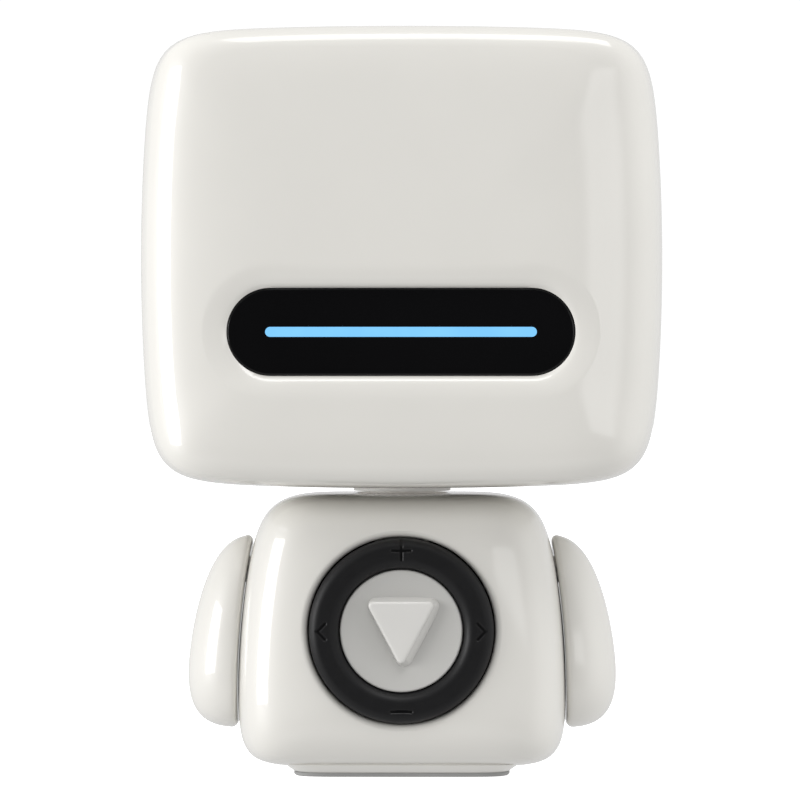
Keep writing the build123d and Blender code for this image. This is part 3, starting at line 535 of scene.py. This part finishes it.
# ---------------------------------------------------------------- dial
def dial_loft(name, profile, count, depth=None, closed=True):
    """A shape turned about the dial's axis from (radius, way out) points, lowered by a depth."""
    turn = np.arange(count) * 2 * np.pi / count
    rings = []
    for radius, out in profile:
        x, z = radius * np.cos(turn), radius * np.sin(turn)
        y = np.full(count, out)
        if depth is not None:
            y = y - depth(x, z, out)
        ring = np.stack([x, -y, DIAL_Z + z], axis=-1)
        rings.append(ring if radius > 0 else ring[:1])
    return loft(name, rings, closed)


def arc(centre, radii, start, end, count):
    """Points of an ellipse arc, from start to end degrees."""
    turn = np.radians(np.linspace(start, end, count))
    return [(centre[0] + radii[0] * np.cos(t), centre[1] + radii[1] * np.sin(t)) for t in turn]


def stroke(x, z, start, end):
    """Distance from points to a straight stroke."""
    start, end = np.array(start), np.array(end)
    run = end - start
    part = ((x - start[0]) * run[0] + (z - start[1]) * run[1]) / (run @ run)
    part = np.clip(part, 0, 1)
    return np.hypot(x - start[0] - part * run[0], z - start[1] - part * run[1])


MARK_DEPTH, MARK_HALF_WIDTH, MARK_EDGE = 0.15, 0.24, 0.18
# Strokes of the plus, the minus and the two arrowheads, as ends at x, z from the dial's middle.
MARKS = [
    ((-1.2, 10.7), (1.2, 10.7)), ((0, 9.5), (0, 11.9)), ((-1.3, -10.6), (1.3, -10.6)),
    ((-11.1, 0), (-10.1, 1.05)), ((-11.1, 0), (-10.1, -1.05)),
    ((11.1, 0), (10.1, 1.05)), ((11.1, 0), (10.1, -1.05)),
]


def mark_depth(x, z, out):
    """How deep the ring's marks are at a point of its crest."""
    nearest = np.min([stroke(x, z, *mark) for mark in MARKS], axis=0)
    share = np.clip((MARK_HALF_WIDTH + MARK_EDGE / 2 - nearest) / MARK_EDGE, 0, 1)
    return MARK_DEPTH * share * share * (3 - 2 * share) * (out > RING_CREST - 1.3)


# Ways out are distances in front of the object's middle.
RING_BACK, RING_INNER_WALL, RING_OUTER_WALL, RING_ROUNDING_Y = 15.0, 15.6, 15.4, 16.4
FLANGE_R, FLANGE_INNER_R, FLANGE_FRONT, FLANGE_BACK = 13.2, 11.3, 14.0, 13.6
RING_INNER_CREST_R, RING_OUTER_CREST_R, CREST_MARGIN = 9.7, 10.9, 0.06
crest_rise = RING_CREST - RING_ROUNDING_Y
crest_radii = np.linspace(RING_INNER_CREST_R + CREST_MARGIN, RING_OUTER_CREST_R - CREST_MARGIN, 12)
inner_middle, outer_middle = (RING_INNER_CREST_R, RING_ROUNDING_Y), (RING_OUTER_CREST_R, RING_ROUNDING_Y)
ring_profile = [(RING_INNER_R, RING_BACK), (RING_INNER_R, RING_INNER_WALL)]
ring_profile += arc(inner_middle, (RING_INNER_CREST_R - RING_INNER_R, crest_rise), 180, 90, 18)
ring_profile += [(r, RING_CREST) for r in crest_radii]
ring_profile += arc(outer_middle, (RING_OUTER_R - RING_OUTER_CREST_R, crest_rise), 90, 0, 20)
ring_profile += [
    (RING_OUTER_R, RING_OUTER_WALL), (RING_OUTER_R, FLANGE_FRONT), (FLANGE_R, FLANGE_FRONT),
    (FLANGE_R, FLANGE_BACK), (FLANGE_INNER_R, FLANGE_BACK), (FLANGE_INNER_R, RING_BACK),
]
control_ring = dial_loft("dial_ring", ring_profile, 960, mark_depth)

# The share of the mark's depth at each point, for the material.
mark = control_ring.data.attributes.new("mark", "FLOAT", "POINT")
ring_points = np.array([v.co for v in control_ring.data.vertices]) / MM
mark_share = mark_depth(ring_points[:, 0], ring_points[:, 2] - DIAL_Z, RING_CREST) / MARK_DEPTH
mark.data.foreach_set("value", mark_share.astype(np.float32))

BUTTON_EDGE_R, BUTTON_FLANGE_R = 0.25, 8.6
BUTTON_BACK, BUTTON_FLANGE_FRONT = 14.0, 14.5
BUTTON_HOLLOW_R, BUTTON_HOLLOW_TOP = 2.0, 15.0
button_dish_r = BUTTON_R - BUTTON_EDGE_R
button_profile = [
    (0, BUTTON_HOLLOW_TOP), (BUTTON_HOLLOW_R, BUTTON_BACK), (BUTTON_FLANGE_R, BUTTON_BACK),
    (BUTTON_FLANGE_R, BUTTON_FLANGE_FRONT), (BUTTON_R, BUTTON_FLANGE_FRONT),
]
button_profile += arc((button_dish_r, BUTTON_RIM - BUTTON_EDGE_R), (BUTTON_EDGE_R,) * 2, 0, 90, 6)
button_profile += [
    (r, BUTTON_RIM - BUTTON_DISH * (1 - (r / button_dish_r) ** 2))
    for r in np.linspace(BUTTON_R - 0.3, 0.3, 28)
]
button_profile += [(0, BUTTON_RIM - BUTTON_DISH)]
play_button = dial_loft("play_button_disc", button_profile, 192, closed=False)

TRIANGLE = np.array([(-4.6, 3.9), (4.6, 3.9), (0, -4.7)])
TRIANGLE_ROUNDING, TRIANGLE_POINTS = 0.5, 240


def triangle_outline(grow):
    """Outline of the play triangle, point down and with rounded corners, grown outwards."""
    middle = TRIANGLE.mean(axis=0)
    edges = [(TRIANGLE[k], TRIANGLE[(k + 1) % 3]) for k in range(3)]

    def distance(points):
        """Distance outside the triangle, negative inside."""
        worst = np.full(len(points), -np.inf)
        for start, end in edges:
            normal = np.array([end[1] - start[1], start[0] - end[0]])
            normal = normal / np.linalg.norm(normal)
            if normal @ (middle - start) > 0:
                normal = -normal
            worst = np.maximum(worst, (points - start) @ normal)
        return worst

    # A smaller triangle, grown back by strokes round it, gives the rounded corners.
    scale = 1 - TRIANGLE_ROUNDING / -distance(middle[None, :])[0]
    small = middle + (TRIANGLE - middle) * scale

    def measure(x, z):
        nearest = np.full(len(x), np.inf)
        for k in range(3):
            nearest = np.minimum(nearest, stroke(x, z, small[k], small[(k + 1) % 3]))
        inside = distance(np.stack([x, z], axis=-1)) < -TRIANGLE_ROUNDING
        return np.where(inside, 0, nearest) / (TRIANGLE_ROUNDING + grow)

    angles = np.arange(TRIANGLE_POINTS) * 2 * np.pi / TRIANGLE_POINTS
    run = reach(measure, middle, angles, far=12.0)
    return middle[0] + run * np.cos(angles), middle[1] + run * np.sin(angles)


def play_triangle():
    """The raised triangle: a drafted wall, wider to the right, a rounded edge and a flat top."""
    edge_r, edge_grow, edge_start = 0.45, 0.12, 17.15
    levels = [(0.65, 0.4, 16.0), (0.6, 0.36, 16.4)]
    for turn in np.linspace(0, np.pi / 2, 8):
        grow = edge_grow - edge_r * (1 - math.cos(turn))
        levels.append((grow, 0, edge_start + edge_r * math.sin(turn)))
    rings = []
    for grow, lean, out in levels:
        x, z = triangle_outline(grow)
        rings.append(np.stack([x + lean, np.full(len(x), -out), DIAL_Z + z], axis=-1))
    bottom, flat = rings[0].mean(axis=0), rings[-1]
    middle = flat.mean(axis=0)
    for part in (0.6, 0.25):
        rings.append(middle + (flat - middle) * part)
    return loft("play_triangle", [bottom[None, :], *rings, middle[None, :]])


triangle = play_triangle()


# ---------------------------------------------------------------- foot
FOOT_POWER, FOOT_POINTS = 8.0, 160
FOOT_DRAFT, FOOT_TOP, FOOT_TOP_INSET = 1.5, 2.9, 1.0
PAD_EDGE = 0.12


def foot_ring(corner, inset, z):
    """A level superellipse that reaches a corner's x and y, less an inset."""
    turn = np.arange(FOOT_POINTS) * 2 * np.pi / FOOT_POINTS
    x = (corner[0] - inset) * np.sign(np.cos(turn)) * np.abs(np.cos(turn)) ** (2 / FOOT_POWER)
    y = (corner[1] - inset) * np.sign(np.sin(turn)) * np.abs(np.sin(turn)) ** (2 / FOOT_POWER)
    return np.stack([x, y, np.full(FOOT_POINTS, z)], axis=-1)


foot_low, foot_high = node_box("foot")
pad_low, pad_high = node_box("foot_pad")
foot_rings = [np.array([[0, 0, pad_high[2]]])]
for part in np.linspace(0, 1, 6):
    level = foot_low[2] + part * (foot_high[2] - foot_low[2])
    foot_rings.append(foot_ring(foot_high, FOOT_DRAFT * (1 - part), level))
foot_rings.append(foot_ring(foot_high, FOOT_TOP_INSET, FOOT_TOP))
foot_rings.append(np.array([[0, 0, FOOT_TOP]]))
foot = loft("foot_skirt", foot_rings)

pad_rings = [np.array([[0, 0, pad_low[2]]])]
for inset, level in ((PAD_EDGE, pad_low[2]), (0, pad_low[2] + PAD_EDGE), (0, pad_high[2])):
    pad_rings.append(foot_ring(pad_high, inset, level))
pad_rings.append(np.array([[0, 0, pad_high[2]]]))
pad = loft("foot_pad_sheet", pad_rings)


# ---------------------------------------------------------------- materials
def new_material(name, colour, roughness):
    """A material with one colour and roughness, and its Principled shader."""
    material = bpy.data.materials.new(name)
    material.use_nodes = True
    shader = material.node_tree.nodes["Principled BSDF"]
    shader.inputs["Base Color"].default_value = (*colour, 1)
    shader.inputs["Roughness"].default_value = roughness
    return material, shader


def add_node(material, kind, **inputs):
    """A node with numbers on some of its inputs, named with _ for a space."""
    node = material.node_tree.nodes.new(kind)
    for key, value in inputs.items():
        node.inputs[key.replace("_", " ")].default_value = value
    return node


def mapped(material, kind, stretch=None, **inputs):
    """A texture node over the object, its coordinates in metres."""
    texture = add_node(material, kind, **inputs)
    coordinates = material.node_tree.nodes.new("ShaderNodeTexCoord").outputs["Object"]
    if stretch is not None:
        mapping = add_node(material, "ShaderNodeMapping", Scale=stretch)
        material.node_tree.links.new(coordinates, mapping.inputs["Vector"])
        coordinates = mapping.outputs["Vector"]
    material.node_tree.links.new(coordinates, texture.inputs["Vector"])
    return texture


def noise(material, scale, detail=4.0):
    """Noise over the object, scale in features per metre."""
    texture = mapped(material, "ShaderNodeTexNoise", Scale=scale, Detail=detail, Roughness=0.55)
    return texture.outputs["Fac"]


def spread(material, source, low, high):
    """Map the middle of a noise's span to numbers between low and high."""
    node = add_node(material, "ShaderNodeMapRange", From_Min=0.3, From_Max=0.7, To_Min=low, To_Max=high)
    material.node_tree.links.new(source, node.inputs["Value"])
    return node.outputs["Result"]


def blend(material, source, first, second, target):
    """Drive a colour input between two colours."""
    mix = material.node_tree.nodes.new("ShaderNodeMix")
    mix.data_type = "RGBA"
    sockets = {socket.identifier: socket for socket in mix.inputs}
    sockets["A_Color"].default_value = (*first, 1)
    sockets["B_Color"].default_value = (*second, 1)
    material.node_tree.links.new(source, mix.inputs[0])
    result = next(socket for socket in mix.outputs if socket.identifier == "Result_Color")
    material.node_tree.links.new(result, target)


def tint(material, shader, source, first, second):
    """Colour the shader between two colours."""
    blend(material, source, first, second, shader.inputs["Base Color"])


def bump(material, shader, source, depth):
    """Raise the surface by a source, depth in metres."""
    node = add_node(material, "ShaderNodeBump", Strength=1.0, Distance=depth)
    material.node_tree.links.new(source, node.inputs["Height"])
    material.node_tree.links.new(node.outputs["Normal"], shader.inputs["Normal"])


def moulded(name, colour, roughness, variation, grain, grain_scale,
            coat=0.0, coat_roughness=0.03, specular=0.5):
    """Moulded plastic or rubber: faint cloudy colour, uneven roughness and a fine skin."""
    material, shader = new_material(name, colour, roughness)
    cloudy = spread(material, noise(material, 55), 0, 1)
    darker = tuple(c * (1 - variation) for c in colour)
    lighter = tuple(min(1, c * (1 + variation)) for c in colour)
    tint(material, shader, cloudy, darker, lighter)
    rough = spread(material, noise(material, 130), roughness * 0.88, min(1, roughness * 1.12))
    material.node_tree.links.new(rough, shader.inputs["Roughness"])
    bump(material, shader, noise(material, grain_scale, 3), grain)
    shader.inputs["Coat Weight"].default_value = coat
    shader.inputs["Specular IOR Level"].default_value = specular
    shader.inputs["Coat Roughness"].default_value = coat_roughness
    return material


def metal(name, colour, roughness, stretch=(1, 1, 1), depth=0.00001):
    """Metal with fine brushed or cast unevenness."""
    material, shader = new_material(name, colour, roughness)
    shader.inputs["Metallic"].default_value = 1.0
    texture = mapped(material, "ShaderNodeTexNoise", stretch, Scale=1400.0, Detail=4.0)
    rough = spread(material, texture.outputs["Fac"], roughness * 0.8, min(1, roughness * 1.2))
    material.node_tree.links.new(rough, shader.inputs["Roughness"])
    tint(material, shader, texture.outputs["Fac"], tuple(c * 0.9 for c in colour), colour)
    bump(material, shader, texture.outputs["Fac"], depth)
    return material


shell_white = moulded("shell_gloss_white", (0.72, 0.705, 0.665), 0.38, 0.012, 0.000004, 260, 1.0, 0.05)
neck_white = moulded("neck_satin", (0.88, 0.86, 0.83), 0.42, 0.02, 0.00001, 2500)
# The button's grey is darker than the triangle's plastic: painted shade of the ring and the dish over the
# disc.
button_grey_painted_shade = moulded("button_satin_painted_shade", (0.50, 0.495, 0.475), 0.34, 0.02, 0.000006, 2200, 0.25, 0.15)
triangle_satin = moulded("triangle_satin", (0.68, 0.67, 0.645), 0.34, 0.02, 0.000006, 2200, 1.0, 0.12)
visor_black = moulded("visor_polished", (0.0032, 0.0032, 0.0036), 0.12, 0.10, 0.000001, 300, specular=0.3)
pad_grey = moulded("pad_rubber", (0.30, 0.30, 0.295), 0.75, 0.10, 0.00004, 2600)
silicone = moulded("silicone_grey", (0.28, 0.28, 0.285), 0.55, 0.06, 0.00002, 2400)
switch_black = moulded("switch_black", (0.02, 0.02, 0.02), 0.45, 0.10, 0.00001, 2600)
cone_black = moulded("cone_film", (0.03, 0.03, 0.032), 0.42, 0.12, 0.00002, 1500)
lead_red = moulded("lead_insulation", (0.25, 0.02, 0.02), 0.45, 0.08, 0.00001, 2600)
screw_zinc = metal("screw_zinc", (0.62, 0.61, 0.58), 0.32)
battery_foil = metal("battery_foil", (0.66, 0.66, 0.68), 0.30, (1, 1, 0.2), 0.00003)
magnet_steel = metal("magnet_plated", (0.20, 0.20, 0.21), 0.42, (1, 1, 1), 0.00004)
coil_copper = metal("coil_copper", (0.72, 0.34, 0.16), 0.34, (0.1, 4, 0.1), 0.00003)


def rubber_ring():
    """Soft-touch black rubber with fine grain; its engraved marks are darker and shinier."""
    material, shader = new_material("ring_soft_touch", (0.012, 0.012, 0.0125), 0.46)
    links = material.node_tree.links
    mark_value = material.node_tree.nodes.new("ShaderNodeAttribute")
    mark_value.attribute_name = "mark"
    in_mark = mark_value.outputs["Fac"]
    tint(material, shader, in_mark, (0.0085, 0.0085, 0.0092), (0.0025, 0.0025, 0.0028))
    shader.inputs["Specular IOR Level"].default_value = 0.25
    smoother = add_node(material, "ShaderNodeMath")
    smoother.operation = "MULTIPLY_ADD"
    smoother.inputs[1].default_value = -0.15
    links.new(in_mark, smoother.inputs[0])
    links.new(spread(material, noise(material, 500), 0.42, 0.5), smoother.inputs[2])
    links.new(smoother.outputs[0], shader.inputs["Roughness"])
    bump(material, shader, noise(material, 4200, 2), 0.000012)
    return material


def lit_bar():
    """Diffusing light guide, lit an uneven pale blue."""
    material, shader = new_material("light_guide_lit", (0.1, 0.3, 0.5), 0.5)
    glow = spread(material, noise(material, 180, 2), 0, 1)
    blend(material, glow, (0.185, 0.55, 0.93), (0.205, 0.585, 0.96), shader.inputs["Emission Color"])
    shader.inputs["Emission Strength"].default_value = 1.0
    tint(material, shader, glow, (0.02, 0.05, 0.08), (0.03, 0.07, 0.11))
    return material


def board_green():
    """Solder mask with faint copper traces under it."""
    material, shader = new_material("board_green", (0.03, 0.17, 0.09), 0.35)
    traces = mapped(material, "ShaderNodeTexBrick", Scale=260.0)
    tint(material, shader, traces.outputs["Fac"], (0.02, 0.15, 0.07), (0.06, 0.26, 0.13))
    bump(material, shader, traces.outputs["Fac"], 0.00002)
    return material


def spider_cloth():
    """Resin-treated woven cloth."""
    material, shader = new_material("spider_cloth", (0.5, 0.33, 0.12), 0.8)
    weave = mapped(material, "ShaderNodeTexChecker", Scale=2400.0)
    tint(material, shader, weave.outputs["Fac"], (0.42, 0.27, 0.10), (0.56, 0.38, 0.15))
    bump(material, shader, weave.outputs["Fac"], 0.00003)
    return material


grille_paint = moulded("grille_paint", (0.52, 0.51, 0.48), 0.40, 0.03, 0.00001, 2600, 0.3, 0.2)
ring_material = rubber_ring()
bar_material = lit_bar()
# A faint glow on the collar is painted light: it brightens the shaded gap between head and torso.
collar_painted_glow = neck_white.copy()
collar_painted_glow.name = "neck_collar_painted_glow"
collar_glow_shader = collar_painted_glow.node_tree.nodes["Principled BSDF"]
collar_glow_shader.inputs["Emission Color"].default_value = (1, 0.98, 0.95, 1)
collar_glow_shader.inputs["Emission Strength"].default_value = 0.13

slot_materials = {
    "shell": shell_white, "neck_plastic": neck_white, "visor": visor_black, "light_guide": bar_material,
    "ring_rubber": ring_material, "silicone": silicone, "button_plastic": button_grey_painted_shade,
    "pad_rubber": pad_grey, "screw_steel": screw_zinc, "circuit_board": board_green(),
    "switch_black": switch_black, "battery_foil": battery_foil, "magnet_steel": magnet_steel,
    "grille_metal": grille_paint, "cone_film": cone_black, "coil_copper": coil_copper,
    "spider_cloth": spider_cloth(), "lead_insulation": lead_red,
}
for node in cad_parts.values():
    for slot in node.material_slots:
        slot.material = slot_materials[slot.material.name.split(".")[0]]
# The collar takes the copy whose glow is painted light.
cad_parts["neck_collar"].material_slots[0].material = collar_painted_glow


def finish_piece(piece, body, slot, *nodes):
    """Give a new piece its material and body, and hide the CAD nodes it stands for."""
    piece.data.materials.clear()
    piece.data.materials.append(slot_materials[slot])
    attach(piece, body)
    if nodes:
        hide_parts(*nodes)


finish_piece(head_front, "head", "shell", "head_front_shell")
finish_piece(head_rear, "head", "shell", "head_rear_shell")
finish_piece(torso_front, "torso", "shell", "torso_front_shell")
finish_piece(torso_rear, "torso", "shell", "torso_rear_shell")
finish_piece(foot, "torso", "shell", "foot")
finish_piece(pad, "torso", "pad_rubber", "foot_pad")
finish_piece(arms["left_arm"], "left_arm", "shell", "arm_left")
finish_piece(arms["right_arm"], "right_arm", "shell", "arm_right")
finish_piece(control_ring, "control_ring", "ring_rubber", "control_ring")
finish_piece(play_button, "play_button", "button_plastic", "play_button")
finish_piece(triangle, "play_button", "button_plastic", "play_button")
# The triangle keeps the plastic's own paler tone; the button's darker grey is painted shade.
triangle.data.materials[0] = triangle_satin  # as smooth as the button, but paler


# ---------------------------------------------------------------- floor, light and camera
FLOOR_REACH = 6.0
floor_mesh = bpy.data.meshes.new("floor")
floor_corners = [(x * FLOOR_REACH, y * FLOOR_REACH, 0) for x, y in ((-1, -1), (1, -1), (1, 1), (-1, 1))]
floor_mesh.from_pydata(floor_corners, [], [(0, 1, 2, 3)])
floor = bpy.data.objects.new("floor", floor_mesh)
bpy.context.scene.collection.objects.link(floor)
floor_material, floor_shader = new_material("floor_white", (0.86, 0.86, 0.86), 0.9)
floor_shader.inputs["Emission Color"].default_value = (1, 1, 1, 1)
floor_shader.inputs["Emission Strength"].default_value = 0.8
floor_mesh.materials.append(floor_material)
# Only the camera sees the floor; the world below lights the object and is reflected in it.
floor.visible_diffuse = False
floor.visible_glossy = False
floor.visible_shadow = False


AIM = Vector((0, 0, 0.06))


def area_light(name, place, size, power, glossy=True):
    """A softbox in metres, aimed at the middle of the object."""
    light = bpy.data.lights.new(name, "AREA")
    light.shape = "RECTANGLE"
    light.size, light.size_y = size
    light.energy = power
    lamp = bpy.data.objects.new(name, light)
    lamp.location = place
    lamp.rotation_mode = "QUATERNION"
    lamp.rotation_quaternion = (Vector(place) - AIM).to_track_quat("Z", "Y")
    lamp.visible_camera = False
    lamp.visible_glossy = glossy
    bpy.context.scene.collection.objects.link(lamp)


area_light("left_softbox", (-0.64, -0.20, 0.095), (0.33, 0.31), 2.85)
area_light("overhead_softbox", (0.12, -0.26, 0.62), (0.56, 0.24), 1.6)
area_light("right_softbox", (0.62, -0.05, 0.07), (0.42, 0.40), 1.15, glossy=False)

world = bpy.data.worlds.new("studio")
bpy.context.scene.world = world
world.use_nodes = True
nodes, links = world.node_tree.nodes, world.node_tree.links
ray = nodes.new("ShaderNodeLightPath")
towards = nodes.new("ShaderNodeSeparateXYZ")
links.new(nodes.new("ShaderNodeTexCoord").outputs["Generated"], towards.inputs["Vector"])


def step(axis, start, end, low, high):
    """Low in directions before start along an axis, high after end, and a soft ramp between."""
    node = nodes.new("ShaderNodeMapRange")
    node.interpolation_type = "SMOOTHSTEP"
    for key, value in (("From Min", start), ("From Max", end), ("To Min", low), ("To Max", high)):
        node.inputs[key].default_value = value
    links.new(towards.outputs[axis], node.inputs["Value"])
    return node.outputs["Result"]


def combine(operation, first, second):
    """Arithmetic on two sources."""
    node = nodes.new("ShaderNodeMath")
    node.operation = operation
    links.new(first, node.inputs[0])
    links.new(second, node.inputs[1])
    return node.outputs[0]


def choose(ray_kind, if_not, if_so):
    """A source or number for one kind of ray and another for the rest."""
    node = nodes.new("ShaderNodeMix")
    node.data_type = "FLOAT"
    links.new(ray.outputs[ray_kind], node.inputs[0])
    for socket, value in ((node.inputs[2], if_not), (node.inputs[3], if_so)):
        if isinstance(value, float):
            socket.default_value = value
        else:
            links.new(value, socket)
    return node.outputs[0]


# What reflections show: a dark studio in front, a pale floor, and a bright panel front right.
dark_front = step("Y", -0.95, -0.35, 0.06, 1.0)
pale_floor = step("Z", -0.5, -0.22, 0.95, 0.0)
panel = combine("MULTIPLY", step("X", 0.24, 0.34, 0.0, 2.2), step("Y", -0.8, -0.6, 1.0, 0.0))
panel = combine("MULTIPLY", panel, step("Z", -0.045, -0.01, 0.0, 1.0))
panel = combine("MULTIPLY", panel, step("Z", 0.14, 0.24, 1.0, 0.0))
room = combine("ADD", combine("MAXIMUM", dark_front, pale_floor), panel)
below = step("Z", -0.35, 0.05, 0.95, 1.0)
grey = combine("MULTIPLY", choose("Is Glossy Ray", 1.0, room), choose("Is Camera Ray", below, 1.0))
colour = nodes.new("ShaderNodeCombineColor")
for channel in ("Red", "Green", "Blue"):
    links.new(grey, colour.inputs[channel])
background = nodes["Background"]
links.new(colour.outputs["Color"], background.inputs["Color"])
links.new(choose("Is Camera Ray", 0.72, 1.05), background.inputs["Strength"])

# A long lens at the height of the object's middle, as in the photo.
bpy.context.scene.view_settings.view_transform = "Standard"
camera = bpy.data.objects.new("camera", bpy.data.cameras.new("camera"))
camera.data.lens = 152
camera.data.sensor_width = 36
camera.location = (0.0033, -0.464, 0.0505)
camera_aim = Vector((-0.0003, 0, 0.0505))
camera.rotation_mode = "QUATERNION"
camera.rotation_quaternion = (camera.location - camera_aim).to_track_quat("Z", "Y")
bpy.context.scene.collection.objects.link(camera)
bpy.context.scene.camera = camera
